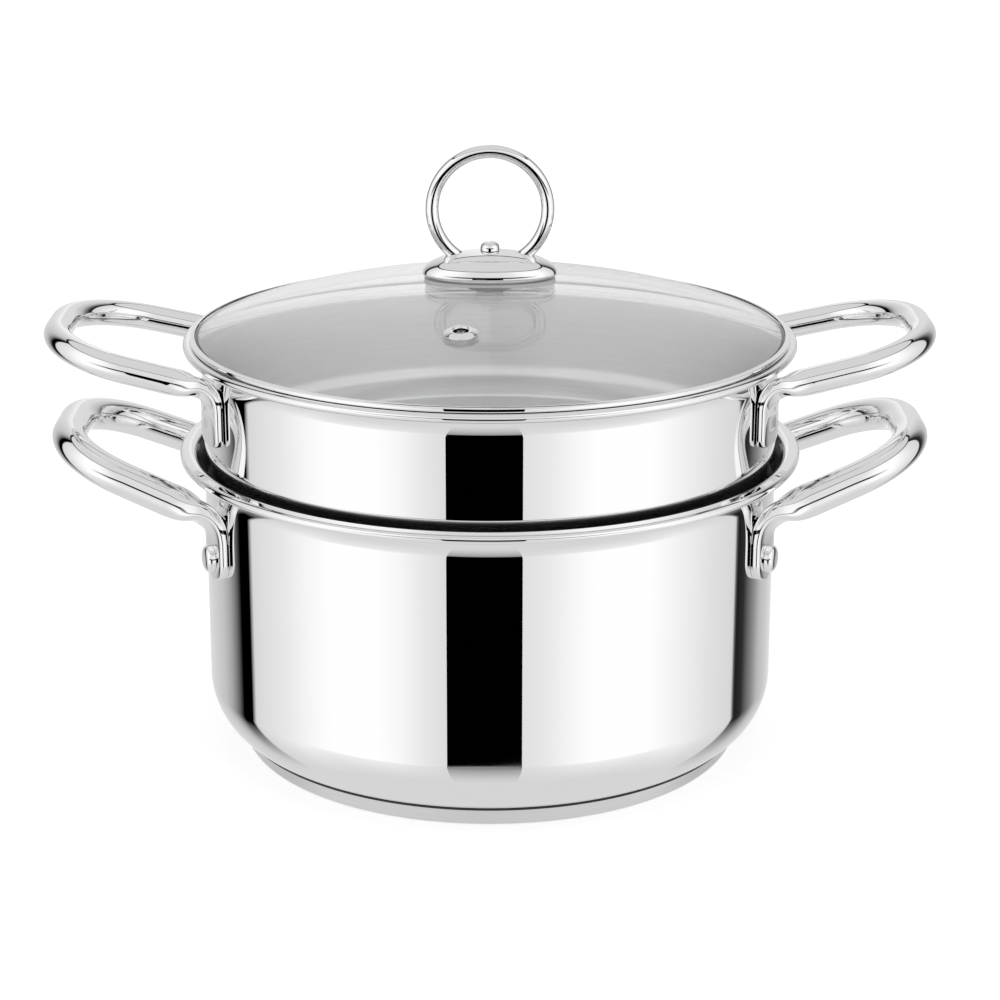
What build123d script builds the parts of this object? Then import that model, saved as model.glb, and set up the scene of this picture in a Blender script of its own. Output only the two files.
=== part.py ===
from build123d import *
import os
from math import sin, cos, tan, radians, degrees, sqrt, asin, acos, atan2, hypot, copysign, pi

# Steamer pot: a two-handled stainless pot, a shallow perforated steamer insert that nests in
# its mouth, and a domed glass lid with a ring knob that nests in the mouth of the insert.
# Millimetres, +Z up, origin at the middle of the base, handles along X, front towards -Y.

os.makedirs("parts", exist_ok=True)

# Pot body
pot_bore_r = 100.0            # inside radius: a 20 cm pot
pot_sheet = 0.75
pot_corner_r = 22.0           # outer face, wall to floor
pot_floor_z = 4.1             # underside of the drawn body
pot_flare_z = 99.1            # where the rim begins to flare

# Rolled rim, radii on the upper face: a wide bend, a tight bend to level, then the lip
flare_bend_r = 13.0
flare_bend_tilt = 33.0        # degrees from upright where the tight bend takes over
pot_crest_bend_r = 5.0
pot_lip_r = 1.6
insert_crest_bend_r = 4.05
insert_lip_r = 1.5
lip_turn = 150.0              # from level, over the edge and back underneath

# Encapsulated base
cap_sheet = 0.5
cap_flat_inset = 15.75        # from the pot's wall to the flat part that stands on the hob
cap_corner_r = 4.0
cap_edge_inset = 9.75         # from the wall to where its edge meets the corner of the pot
core_inset = 15.75
seam_gap = 0.05

# Steamer insert
insert_step = 1.2             # its wall stands out this far past the bore of the pot
insert_sheet = 0.7
insert_crest_rise = 49.05     # top of its rim, above the start of the pot's flare
insert_shoulder_rise = 12.8   # above that too: the wall draws in below this
insert_draw_tilt = 14.5       # degrees reached at the end of the long curve
insert_corner_r = 4.0         # outer face, wall to floor
seat_gap = 0.3                # left where one vessel rests on the other
floor_ring_inset = 9.0        # drawn ring in the floor, in from the floor's edge
floor_ring_rise = 0.5
floor_ring_bend_r = 1.5
steam_hole_d = 5.5
steam_ring_pitch = 15.0
steam_rings = 4               # rings round the middle hole
holes_per_ring = 6            # added with each ring

# Tube handles: out is measured along X from the tab, drop and rise from the start of the flare,
# and the end of a tab is rounded by a share of its half width
pot_handle_sizes = dict(
    tube_d=11.8, tab_y=39.3, knee_out=2.23, knee_y=40.0, knee_drop=6.27, corner_out=54.73, corner_y=31.5,
    corner_rise=15.2, corner_r=24.0, leg_out=16.73, bend_r=11.0, tab_top_drop=10.6, tab_foot_drop=27.6,
    tab_width=18.6, tab_thick=2.8, tab_end_share=0.753)
insert_handle_sizes = dict(
    tube_d=9.4, tab_y=39.3, knee_out=1.74, knee_y=40.0, knee_drop=1.03, corner_out=56.74, corner_y=35.5,
    corner_rise=11.57, corner_r=26.0, leg_out=14.74, bend_r=7.0, tab_top_drop=5.73, tab_foot_drop=19.73,
    tab_width=17.6, tab_thick=2.5, tab_end_share=0.341)

end_sections = 12             # along a pressed end
round_share = 0.98            # corner radius of its sections, of the smaller half size
weld_d = 4.2                  # spot weld marks on the insert's handles
weld_sink = 0.35

# Rivets of the pot handles
rivet_drop = 20.4             # below the start of the flare
rivet_shank_d = 5.0
rivet_head_d = 9.7
rivet_head_h = 3.0
rivet_inner_d = 9.0
rivet_inner_h = 1.2
rivet_gap = 0.05              # round the shank and under the heads
head_edge_share = 0.25        # upright part of a domed head

# Glass lid
glass_thick = 3.6
glass_overhang = 0.325        # of its edge, past the line where the lid rests
glass_edge_h = 0.507          # upright part of its edge
crown_ball_r = 306.3          # outer face
glass_bevel_tilt = 57.0       # degrees from upright, under the edge
band_sheet = 0.5
band_gap = 0.05
band_lip_inset = 1.05         # inner edge of the band's upper lip, in from the glass's edge
band_foot_inset = 1.55        # and of its foot

# Vent
vent_x = -9.5
vent_y = -56.1
vent_hole_d = 8.4             # in the glass
vent_bore_d = 5.0
vent_barrel_d = 8.2
vent_flange_d = 11.5
vent_flange_h = 1.3
vent_washer_d = 12.0
vent_washer_h = 0.8
vent_roll_d = 9.4             # barrel spread below the washer
vent_roll_h = 0.5

# Knob
plate_half_x = 23.5
plate_half_y = 13.0
plate_height = 10.0
plate_sheet = 1.0
pad_edge_h = 1.6              # from the glass to the edge of the plate
pad_inset = 0.7
ring_wire_d = 4.6
ring_r = 20.0                 # to the middle of the wire
ring_rise = 24.3              # its middle, above the edge of the plate
ring_foot_x = 12.1            # where the wire passes into the plate
ring_tail = 4.0               # wire hidden below the plate
screw_d = 5.0
screw_head_d = 6.8
screw_head_h = 3.0
glass_hole_d = 8.0
washer_d = 16.0
washer_thick = 1.2
nut_flats = 8.0
nut_h = 4.0
fit_gap = 0.05
cut_over = 1.0                # overrun of every cut

pot_wall_r = pot_bore_r + pot_sheet
cap_flat_r = pot_wall_r - cap_flat_inset
cap_edge_r = pot_wall_r - cap_edge_inset
core_r = pot_wall_r - core_inset
rivet_z = pot_flare_z - rivet_drop
bottom_up = (Align.CENTER, Align.CENTER, Align.MIN)


def sheet_face(start, tilt, steps, sheet):
    """Sheet profile in the R-Z plane. The outer face follows the steps, a run or (radius, turn)
    each, and the inner face lies one sheet to its left. Tilt is degrees from upright."""
    faces = []
    for offset in (0, sheet):
        heading = radians(tilt)
        at = (start[0] - offset * cos(heading), start[1] + offset * sin(heading))
        edges = []
        for step in steps:
            if isinstance(step, tuple):
                side = copysign(1, step[1])
                radius = step[0] + side * offset
                points = [(at[0], 0, at[1])]
                for share in (1 / 2, 1):
                    new = heading + radians(step[1]) * share
                    points.append((at[0] + side * radius * (cos(heading) - cos(new)), 0,
                                   at[1] + side * radius * (sin(new) - sin(heading))))
                edges.append(ThreePointArc(*points))
                heading += radians(step[1])
            else:
                end = (at[0] + step * sin(heading), 0, at[1] + step * cos(heading))
                edges.append(Line((at[0], 0, at[1]), end))
            at = (edges[-1] @ 1).X, (edges[-1] @ 1).Z
        faces.append(edges)
    outer, inner = faces
    ends = [Line(outer[0] @ 0, inner[0] @ 0), Line(outer[-1] @ 1, inner[-1] @ 1)]
    return make_face(outer + inner + ends)


def spin(face):
    return revolve(face, Axis.Z, 360)


def rim_steps(crest_bend_r, lip_r, sheet):
    return [(flare_bend_r - sheet, flare_bend_tilt), (crest_bend_r - sheet, 90 - flare_bend_tilt),
            (lip_r - sheet, lip_turn)]


def rim_rise(crest_bend_r):
    tilt = radians(flare_bend_tilt)
    return flare_bend_r * sin(tilt) + crest_bend_r * (1 - sin(tilt))


def radial_plane(azimuth, radius, height):
    """Plane tangent to a wall, its normal pointing outwards and its y axis up."""
    out = Vector(cos(azimuth), sin(azimuth), 0)
    return Plane(origin=(radius * out.X, radius * out.Y, height), x_dir=(-out.Y, out.X, 0), z_dir=out)


def placed_handle(sizes, wall_r, flare_z):
    """The sizes of a handle with its place on a wall of this radius."""
    azimuth = asin(sizes["tab_y"] / wall_r)
    tab_x = wall_r * cos(azimuth)
    place = dict(wall_r=wall_r, azimuth=azimuth, leg_x=tab_x + sizes["leg_out"])
    place["knee"] = Vector(tab_x + sizes["knee_out"], sizes["knee_y"], flare_z - sizes["knee_drop"])
    place["corner"] = Vector(tab_x + sizes["corner_out"], sizes["corner_y"], flare_z + sizes["corner_rise"])
    place["tab_top"] = flare_z - sizes["tab_top_drop"]
    place["tab_foot"] = flare_z - sizes["tab_foot_drop"]
    place["tab_end_r"] = sizes["tab_end_share"] * sizes["tab_width"] / 2
    return sizes | place


pot_handle = placed_handle(pot_handle_sizes, pot_wall_r, pot_flare_z)
pot_tab = pot_handle["azimuth"]
rivet_places = dict(right_front=-pot_tab, right_back=pot_tab, left_front=pi + pot_tab, left_back=pi - pot_tab)


# Pot body
def make_pot_body():
    steps = [pot_wall_r - pot_corner_r, (pot_corner_r, -90), pot_flare_z - pot_floor_z - pot_corner_r]
    steps += rim_steps(pot_crest_bend_r, pot_lip_r, pot_sheet)
    body = spin(sheet_face((0, pot_floor_z), 90, steps, pot_sheet))
    for azimuth in rivet_places.values():
        hole = Cylinder(rivet_shank_d / 2 + rivet_gap, pot_sheet + 4 * cut_over)
        body -= radial_plane(azimuth, pot_wall_r, rivet_z) * hole
    return body


def pot_bottom_blank(grow):
    """Solid under the outer face of the pot's floor and corner, grown outwards."""
    radius = pot_corner_r + grow
    floor = Vector(pot_wall_r - pot_corner_r, 0, pot_floor_z - grow)
    side = Vector(pot_wall_r + grow, 0, pot_floor_z + pot_corner_r)
    middle = Vector(floor.X + radius * sin(pi / 4), 0, side.Z - radius * cos(pi / 4))
    axis_low = Vector(0, 0, floor.Z)
    axis_high = Vector(0, 0, side.Z)
    edges = [Line(axis_low, floor), ThreePointArc(floor, middle, side)]
    edges += [Line(side, axis_high), Line(axis_high, axis_low)]
    return spin(make_face(edges))


def make_base_cap():
    """Dish whose edge comes up to the corner of the pot on a line tangent to its own corner."""
    inside = cap_edge_r - (pot_wall_r - pot_corner_r)
    edge_z = pot_floor_z + pot_corner_r - sqrt(pot_corner_r ** 2 - inside ** 2)
    out, up = cap_edge_r - cap_flat_r, edge_z - cap_corner_r
    tilt = degrees(acos(cap_corner_r / hypot(out, up)) - atan2(up, out))
    run = sqrt(out ** 2 + up ** 2 - cap_corner_r ** 2)
    dish = spin(sheet_face((0, 0), 90, [cap_flat_r, (cap_corner_r, tilt - 90), run], cap_sheet))
    return dish - pot_bottom_blank(seam_gap)


def make_base_core():
    core = Cylinder(core_r, pot_corner_r, align=bottom_up)
    core = Pos(0, 0, cap_sheet) * core - pot_bottom_blank(0)
    return core - Pos(0, 0, pot_floor_z) * Cylinder(core_r + cut_over, 2 * pot_corner_r, align=bottom_up)


# Steamer insert. Its long curve rests on the wide bend of the pot's rim with the seat gap:
# the radius follows from the distance between the centres of the two arcs.
seat_reach = (insert_step ** 2 + insert_shoulder_rise ** 2 - seat_gap ** 2) / (2 * (insert_step + seat_gap))
insert_draw_r = seat_reach - flare_bend_r
insert_wall_r = pot_bore_r + insert_step
insert_shoulder_z = pot_flare_z + insert_shoulder_rise
insert_crest_z = pot_flare_z + insert_crest_rise
insert_flare_z = insert_crest_z - rim_rise(insert_crest_bend_r)
draw_tilt = radians(insert_draw_tilt)
insert_floor_r = insert_wall_r - insert_draw_r * (1 - cos(draw_tilt)) - insert_corner_r * cos(draw_tilt)
insert_floor_z = insert_shoulder_z - insert_draw_r * sin(draw_tilt) - insert_corner_r * (1 - sin(draw_tilt))
floor_ring_r = insert_floor_r - floor_ring_inset
insert_handle = placed_handle(insert_handle_sizes, insert_wall_r, insert_flare_z)


def make_insert_body():
    bend = degrees(acos(1 - floor_ring_rise / 2 / floor_ring_bend_r))
    width = 2 * floor_ring_bend_r * sin(radians(bend))
    bend_out, bend_in = floor_ring_bend_r, floor_ring_bend_r - insert_sheet
    steps = [floor_ring_r - width / 2, (bend_in, bend), (bend_out, -bend)]
    steps += [insert_floor_r - floor_ring_r - width / 2]
    steps += [(insert_corner_r, insert_draw_tilt - 90), (insert_draw_r, -insert_draw_tilt)]
    steps += [insert_flare_z - insert_shoulder_z]
    steps += rim_steps(insert_crest_bend_r, insert_lip_r, insert_sheet)
    middle_z = insert_floor_z + 2 * floor_ring_bend_r * (1 - cos(radians(bend)))
    middle_z -= insert_sheet * (1 - cos(radians(bend)))
    body = spin(sheet_face((0, middle_z), 90, steps, insert_sheet))
    holes = []
    for ring in range(steam_rings + 1):
        count = holes_per_ring * ring or 1
        for place in range(count):
            angle = 2 * pi * place / count
            radius = ring * steam_ring_pitch
            hole = Cylinder(steam_hole_d / 2, insert_sheet + 2 * cut_over)
            holes.append(Pos(radius * cos(angle), radius * sin(angle), insert_floor_z + insert_sheet) * hole)
    return body - holes


# Handles
def bent_path(corners, radii):
    """Straight runs through the corners, each inner corner rounded with its own radius."""
    corners = [Vector(*corner) for corner in corners]
    edges = []
    at = corners[0]
    for before, corner, after, radius in zip(corners, corners[1:], corners[2:], radii):
        back = (before - corner).normalized()
        on = (after - corner).normalized()
        half = radians(back.get_angle(on)) / 2
        middle = corner + (back + on).normalized() * (radius / sin(half) - radius)
        start = corner + back * (radius / tan(half))
        end = corner + on * (radius / tan(half))
        edges += [Line(at, start), ThreePointArc(start, middle, end)]
        at = end
    edges.append(Line(at, corners[-1]))
    return Wire(edges)


def make_pressed_end(size, leg, along):
    """End of a tube: round at the leg, then bent down and flattened against the wall."""
    tube_r = size["tube_d"] / 2
    azimuth = size["azimuth"]
    side = Vector(-sin(azimuth), cos(azimuth), 0)
    depth = size["tab_thick"] / 2 + pot_sheet
    middle_r = size["wall_r"] + size["tab_thick"] - depth
    foot = Vector(middle_r * cos(azimuth), middle_r * sin(azimuth), size["tab_foot"] - cut_over)
    turn = Vector(foot.X, foot.Y, size["knee"].Z)
    spine = bent_path([tuple(foot), tuple(turn), tuple(leg)], [size["bend_r"]])
    flat_share = (size["tab_top"] - foot.Z) / spine.length
    sections = []
    for row in range(end_sections + 1):
        share = row / end_sections
        turned = max(0, (share - flat_share) / (1 - flat_share))
        full = turned * turned * (3 - 2 * turned)
        toward = spine % share if row < end_sections else along * -1
        across = side * (1 - turned) + Vector(0, 1, 0) * turned
        across = (across - toward * across.dot(toward)).normalized()
        wide = size["tab_width"] / 2 * (1 - full) + tube_r * full
        deep = depth * (1 - full) + tube_r * full
        plane = Plane(origin=spine @ share, x_dir=across, z_dir=toward)
        sections.append(plane * RectangleRounded(2 * wide, 2 * deep, round_share * min(wide, deep)))
    return loft(sections)


def make_handle(size):
    """Right-hand tube loop; each leg bends down and is pressed flat against the wall."""
    knee = size["knee"]
    corner = size["corner"]
    leg = knee + (corner - knee) * ((size["leg_x"] - knee.X) / (corner.X - knee.X))
    along = (leg - corner).normalized()
    corners = [leg, corner, Vector(corner.X, -corner.Y, corner.Z), Vector(leg.X, -leg.Y, leg.Z)]
    path = bent_path([tuple(point) for point in corners], [size["corner_r"]] * 2)
    loop = sweep(Plane(origin=leg, x_dir=(0, 1, 0), z_dir=along * -1) * Circle(size["tube_d"] / 2), path=path)
    wall = Cylinder(size["wall_r"] + fit_gap, 2 * size["corner"].Z)
    pressed = make_pressed_end(size, leg, along) - wall - tab_trim(size)
    return loop + pressed + mirror(pressed, Plane.XZ)


def tab_trim(size):
    """What is cut away below the rounded end of a tab."""
    half_width = size["tab_width"] / 2 - size["tab_end_r"] / 4
    height = size["tab_top"] - size["tab_foot"]
    plane = radial_plane(size["azimuth"], size["wall_r"], size["tab_foot"] + height / 4)
    keep = RectangleRounded(2 * half_width, height, size["tab_end_r"])
    keep = Pos(0, height / 4) * keep
    block = Pos(0, -height / 4) * Rectangle(2 * size["tab_width"], height)
    return plane * extrude(block - keep, 2 * size["tab_thick"], both=True)


def make_pot_handle():
    handle = make_handle(pot_handle)
    for azimuth in (pot_tab, -pot_tab):
        hole = Cylinder(rivet_shank_d / 2 + rivet_gap, 6 * pot_handle["tab_thick"])
        handle -= radial_plane(azimuth, pot_wall_r, rivet_z) * hole
    return handle


def make_insert_handle():
    handle = make_handle(insert_handle)
    azimuth = insert_handle["azimuth"]
    middle_z = (insert_handle["tab_foot"] + insert_handle["tab_top"]) / 2 - weld_sink
    face_r = insert_handle["wall_r"] + insert_handle["tab_thick"]
    for side in (azimuth, -azimuth):
        handle -= radial_plane(side, face_r, middle_z) * Cylinder(weld_d / 2, 2 * weld_sink)
    return handle


def dome_head(diameter, height):
    """Button head with a small upright edge, standing on the XY plane."""
    rise = height * (1 - head_edge_share)
    radius = (diameter ** 2 / 4 + rise ** 2) / (2 * rise)
    return Pos(0, 0, height - radius) * Sphere(radius) & Cylinder(diameter / 2, height, align=bottom_up)


def make_rivet(azimuth):
    face = pot_handle["tab_thick"] + rivet_gap
    length = pot_sheet + face + 2 * rivet_gap + rivet_inner_h / 2
    shank = Pos(0, 0, face - length + rivet_gap) * Cylinder(rivet_shank_d / 2, length, align=bottom_up)
    outer = Pos(0, 0, face) * dome_head(rivet_head_d, rivet_head_h)
    inner = mirror(Pos(0, 0, pot_sheet) * dome_head(rivet_inner_d, rivet_inner_h + rivet_gap), Plane.XY)
    inner = radial_plane(azimuth, pot_wall_r, rivet_z) * inner
    inner &= Cylinder(pot_bore_r - rivet_gap, 2 * rivet_z + 2 * rivet_head_d)
    return radial_plane(azimuth, pot_wall_r, rivet_z) * (shank + outer) + inner


# Lid. The foot of its band is tangent to the tight bend of the insert's rim, grown by the seat gap.
bevel = radians(glass_bevel_tilt)
crest_r = insert_wall_r - insert_sheet + flare_bend_r * (1 - cos(radians(flare_bend_tilt)))
crest_r += insert_crest_bend_r * cos(radians(flare_bend_tilt))
nest_r = crest_r - (insert_crest_bend_r + seat_gap) * cos(bevel)
nest_z = insert_crest_z - insert_crest_bend_r + (insert_crest_bend_r + seat_gap) * sin(bevel)


def band_under(radius):
    """Height of the lowest face of the band."""
    return nest_z + (radius - nest_r) / tan(bevel)


glass_edge_r = nest_r + glass_overhang
band_lip_r = glass_edge_r - band_lip_inset
band_foot_r = glass_edge_r - band_foot_inset
edge_top_z = band_under(glass_edge_r) + (band_sheet + band_gap) / sin(bevel) + glass_edge_h
ball_z = edge_top_z - sqrt(crown_ball_r ** 2 - glass_edge_r ** 2)
crown_z = ball_z + crown_ball_r


def glass_top(radius):
    return ball_z + sqrt(crown_ball_r ** 2 - radius ** 2)


plate_base_z = glass_top(plate_half_x) + pad_edge_h
ring_z = plate_base_z + ring_rise


def vent_frame():
    """Frame on the outer face of the glass at the vent, its z axis square to the glass."""
    place = Vector(vent_x, vent_y, glass_top(hypot(vent_x, vent_y)))
    return Plane(origin=place, z_dir=(place.X, place.Y, place.Z - ball_z))


def make_lid_glass():
    shell = Pos(0, 0, ball_z) * (Sphere(crown_ball_r) - Sphere(crown_ball_r - glass_thick))
    lift = (band_sheet + band_gap) / sin(bevel)
    low = (0, 0, band_under(0) + lift)
    edge = (glass_edge_r, 0, band_under(glass_edge_r) + lift)
    above = crown_z + cut_over
    outline = Polyline(low, edge, (glass_edge_r, 0, above), (0, 0, above), close=True)
    glass = shell & spin(make_face(outline))
    glass -= Pos(0, 0, crown_z) * Cylinder(glass_hole_d / 2, 4 * glass_thick)
    return glass - vent_frame() * Cylinder(vent_hole_d / 2, 4 * glass_thick)


def make_lid_rim_band():
    """Strip folded over the edge of the glass: upper lip, wall and foot."""
    wall_r = glass_edge_r + band_gap
    out_r = wall_r + band_sheet
    lift = band_sheet / sin(bevel)
    low = band_gap
    high = band_gap + band_sheet

    def point(radius, z):
        return (radius, 0, z)

    outline = [point(band_lip_r, glass_top(band_lip_r) + low), point(wall_r, glass_top(glass_edge_r) + low),
               point(wall_r, band_under(wall_r) + lift), point(band_foot_r, band_under(band_foot_r) + lift),
               point(band_foot_r, band_under(band_foot_r)), point(out_r, band_under(out_r)),
               point(out_r, glass_top(glass_edge_r) + high - band_gap), point(wall_r, glass_top(glass_edge_r) + high),
               point(band_lip_r, glass_top(band_lip_r) + high)]
    return spin(make_face(Polyline(*outline, close=True)))


def make_vent_eyelet():
    depth = glass_thick + vent_washer_h + 3 * fit_gap
    length = depth + vent_roll_h + 2 * fit_gap
    low = Pos(0, 0, -depth - vent_roll_h)
    barrel = low * Cylinder(vent_barrel_d / 2, length, align=bottom_up)
    flange = Pos(0, 0, fit_gap) * dome_head(vent_flange_d, vent_flange_h)
    roll = low * Cylinder(vent_roll_d / 2, vent_roll_h, align=bottom_up)
    return vent_frame() * (barrel + flange + roll - Cylinder(vent_bore_d / 2, 4 * depth))


def make_vent_washer():
    washer = Cylinder(vent_washer_d / 2, vent_washer_h) - Cylinder(vent_hole_d / 2, 2 * vent_washer_h)
    return vent_frame() * Pos(0, 0, -glass_thick - 2 * fit_gap - vent_washer_h / 2) * washer


# Knob
def egg_half(grow):
    unit = split(Sphere(1), bisect_by=Plane.XY, keep=Keep.TOP)
    return scale(unit, by=(plate_half_x + grow, plate_half_y + grow, plate_height + grow))


def make_knob_plate():
    shell = Pos(0, 0, plate_base_z) * (egg_half(0) - egg_half(-plate_sheet))
    shell -= make_ring(fit_gap)
    return shell - Pos(0, 0, plate_base_z) * Cylinder(screw_d / 2 + fit_gap, 4 * plate_height)


def make_ring(grow):
    """Round wire bent to a ring that is open at the bottom."""
    foot = degrees(asin(ring_foot_x / ring_r) - ring_tail / ring_r)
    upright = Plane(origin=(0, 0, ring_z), x_dir=(1, 0, 0), z_dir=(0, -1, 0))
    arc = upright * CenterArc((0, 0), ring_r, foot - 90, 360 - 2 * foot)
    section = Plane(origin=arc @ 0, z_dir=arc % 0) * Circle(ring_wire_d / 2 + grow)
    return sweep(section, path=arc)


def make_knob_screw():
    """Screw head on top of the plate, shank down through the glass and the nut."""
    top = plate_base_z + plate_height
    head = Pos(0, 0, top) * dome_head(screw_head_d, screw_head_h)
    low = nut_top_z() - nut_h - cut_over
    return head + Pos(0, 0, low) * Cylinder(screw_d / 2, top - low + fit_gap, align=bottom_up)


def nut_top_z():
    under = ball_z + sqrt((crown_ball_r - glass_thick) ** 2 - washer_d ** 2 / 4)
    return under - fit_gap - washer_thick


def make_knob_washer():
    washer = Cylinder(washer_d / 2, washer_thick, align=bottom_up)
    return Pos(0, 0, nut_top_z()) * (washer - Cylinder(screw_d / 2 + fit_gap, 4 * washer_thick))


def make_knob_nut():
    nut = extrude(RegularPolygon(nut_flats / 2, 6, major_radius=False), nut_h)
    return Pos(0, 0, nut_top_z() - nut_h) * (nut - Cylinder(screw_d / 2 + fit_gap, 4 * nut_h))


def make_knob_gasket():
    """Pad between the glass and the edge of the plate."""
    low = glass_top(plate_half_x) - cut_over
    pad = extrude(Ellipse(plate_half_x - pad_inset, plate_half_y - pad_inset), plate_base_z - low)
    pad = Pos(0, 0, low) * pad - Pos(0, 0, ball_z) * Sphere(crown_ball_r + fit_gap)
    return pad - Pos(0, 0, plate_base_z) * Cylinder(screw_d / 2 + fit_gap, 4 * plate_height)


parts = dict(
    pot_body=make_pot_body(), base_core=make_base_core(), base_cap=make_base_cap(),
    pot_handle_right=make_pot_handle(), insert_body=make_insert_body(),
    insert_handle_right=make_insert_handle(), lid_glass=make_lid_glass(),
    lid_rim_band=make_lid_rim_band(), vent_eyelet=make_vent_eyelet(), vent_washer=make_vent_washer(),
    knob_plate=make_knob_plate(), knob_ring=make_ring(0), knob_screw=make_knob_screw(),
    knob_washer=make_knob_washer(), knob_nut=make_knob_nut(), knob_gasket=make_knob_gasket())
parts["pot_handle_left"] = mirror(parts["pot_handle_right"], Plane.YZ)
parts["insert_handle_left"] = mirror(parts["insert_handle_right"], Plane.YZ)
for place, azimuth in rivet_places.items():
    parts["rivet_" + place] = make_rivet(azimuth)

for name, shape in parts.items():
    box = shape.bounding_box()
    print(name, shape.is_valid, len(shape.solids()), round(shape.volume / 1000, 3), box.min, box.max)
    export_step(shape, f"parts/{name}.step")
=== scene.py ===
import math

import bpy
import numpy as np
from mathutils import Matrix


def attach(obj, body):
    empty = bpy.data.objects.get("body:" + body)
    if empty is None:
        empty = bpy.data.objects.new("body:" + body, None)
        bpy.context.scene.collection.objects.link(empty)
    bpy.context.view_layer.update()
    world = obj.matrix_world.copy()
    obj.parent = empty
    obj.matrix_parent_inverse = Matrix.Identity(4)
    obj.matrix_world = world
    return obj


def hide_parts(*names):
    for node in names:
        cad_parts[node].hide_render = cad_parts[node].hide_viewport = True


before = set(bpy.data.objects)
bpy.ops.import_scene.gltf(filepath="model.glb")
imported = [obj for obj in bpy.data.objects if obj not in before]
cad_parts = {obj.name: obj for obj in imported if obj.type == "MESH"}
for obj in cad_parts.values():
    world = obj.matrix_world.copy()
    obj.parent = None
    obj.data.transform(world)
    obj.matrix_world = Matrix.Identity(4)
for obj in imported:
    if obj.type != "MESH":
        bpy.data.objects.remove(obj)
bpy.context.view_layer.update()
print("frame loaded")

mm = 0.001
tau = 2 * math.pi
mirrorY = np.array([1, -1, 1])


# Small tools

# An arc gets a point for every arcStep degrees, a straight run gets runPoints, two of them nearEnd
# from its ends, so that its shading stays flat.
lineSettings = dict(arcStep=2.5, arcPoints=7, nearEnd=0.3)
runPoints = 4


def stepArc(at, heading, radius, turn, count):
    # Points of an arc that leaves at with this heading (radians from upright) and turns by turn:
    # r + side R (cos heading - cos new), z + side R (sin new - sin heading).
    side = 1 if turn > 0 else -1
    new = heading + turn * np.linspace(0, 1, count)
    r = at[0] + side * radius * (math.cos(heading) - np.cos(new))
    z = at[1] + side * radius * (np.sin(new) - math.sin(heading))
    return np.stack([r, z], 1)


def faceLine(start, steps, offset):
    # One face of a sheet that sets out level: straight runs (a length) and arcs (radius, degrees), offset
    # to the left of the outer face.
    s = lineSettings
    heading = math.pi / 2
    at = np.array([start[0] - offset * math.cos(heading), start[1] + offset * math.sin(heading)])
    rows = [at[None]]
    for step in steps:
        if isinstance(step, tuple):
            turn = math.radians(step[1])
            radius = step[0] + math.copysign(offset, turn)
            count = max(s["arcPoints"], int(abs(step[1]) / s["arcStep"]))
            rows.append(stepArc(at, heading, radius, turn, count)[1:])
            heading += turn
        else:
            near = min(s["nearEnd"], step / 4)
            shares = np.array([near, step / 2, step - near, step])
            rows.append(at + shares[:, None] * np.array([math.sin(heading), math.cos(heading)]))
        at = rows[-1][-1]
    return np.concatenate(rows)


def rimmedProfile(start, steps, sheet):
    # Outer face, free edge and inner face of a sheet as one line, and the number of its outer points.
    # The edge's middle stands out by a quarter of the sheet.
    outer = faceLine(start, steps, 0)
    inner = faceLine(start, steps, sheet)
    onward = (outer[-1] - outer[-2]) / np.linalg.norm(outer[-1] - outer[-2])
    edge = (outer[-1:] + inner[-1:]) / 2 + onward * sheet / 4
    return np.concatenate([outer, edge, inner[::-1]]), len(outer)


def gridQuads(rows, cols, closed):
    # Quads between neighbouring points of a grid whose columns run round; closed wraps its rows too.
    row, col = np.meshgrid(np.arange(rows if closed else rows - 1), np.arange(cols), indexing="ij")
    nextRow, nextCol = (row + 1) % rows, (col + 1) % cols
    corners = [row * cols + col, row * cols + nextCol, nextRow * cols + nextCol, nextRow * cols + col]
    return np.stack(corners, -1).reshape(-1, 4)


def fan(ring, tip):
    # Triangles from each side of a ring of point numbers to one tip.
    return np.stack([ring, np.roll(ring, -1), np.full(len(ring), tip)], 1)


def cappedSkin(rings, tips):
    # Rings of points as a skin of quads, closed at its ends by fans to two tips.
    rows, cols = rings.shape[:2]
    count = rows * cols
    first, last = np.arange(cols), np.arange(count - cols, count)
    fans = np.concatenate([fan(first[::-1], count), fan(last, count + 1)])
    return np.concatenate([rings.reshape(-1, 3), tips]), [gridQuads(rows, cols, False), fans]


def turned(profile, count, closed):
    # A profile (R, Z) turned round Z: x = R cos a, y = R sin a. A closed profile makes a ring; an open
    # one starts and ends on the axis, where fans close it.
    angle = tau * np.arange(count) / count
    rows = profile if closed else profile[1:-1]
    x, y = rows[:, :1] * np.cos(angle), rows[:, :1] * np.sin(angle)
    rings = np.stack([x, y, np.repeat(rows[:, 1:], count, 1)], -1)
    if closed:
        return rings.reshape(-1, 3), [gridQuads(len(rows), count, True)]
    return cappedSkin(rings, [[0, 0, profile[0, 1]], [0, 0, profile[-1, 1]]])


def facingOut(points, faces):
    # A closed skin encloses a positive volume when its faces point outwards: the sum of a . (b x c)
    # over its triangles is six times that volume.
    volume = 0.0
    for part in faces:
        p = points[part]
        for k in range(1, part.shape[1] - 1):
            volume += np.einsum("ij,ij->", p[:, 0], np.cross(p[:, k], p[:, k + 1]))
    return faces if volume > 0 else [part[:, ::-1] for part in faces]


def makeMesh(name, points, faces):
    # points in millimetres, faces a list of arrays of corner numbers.
    mesh = bpy.data.meshes.new(name)
    corners = [face for part in facingOut(points, faces) for face in part.tolist()]
    mesh.from_pydata((points * mm).tolist(), [], corners)
    return mesh


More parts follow.
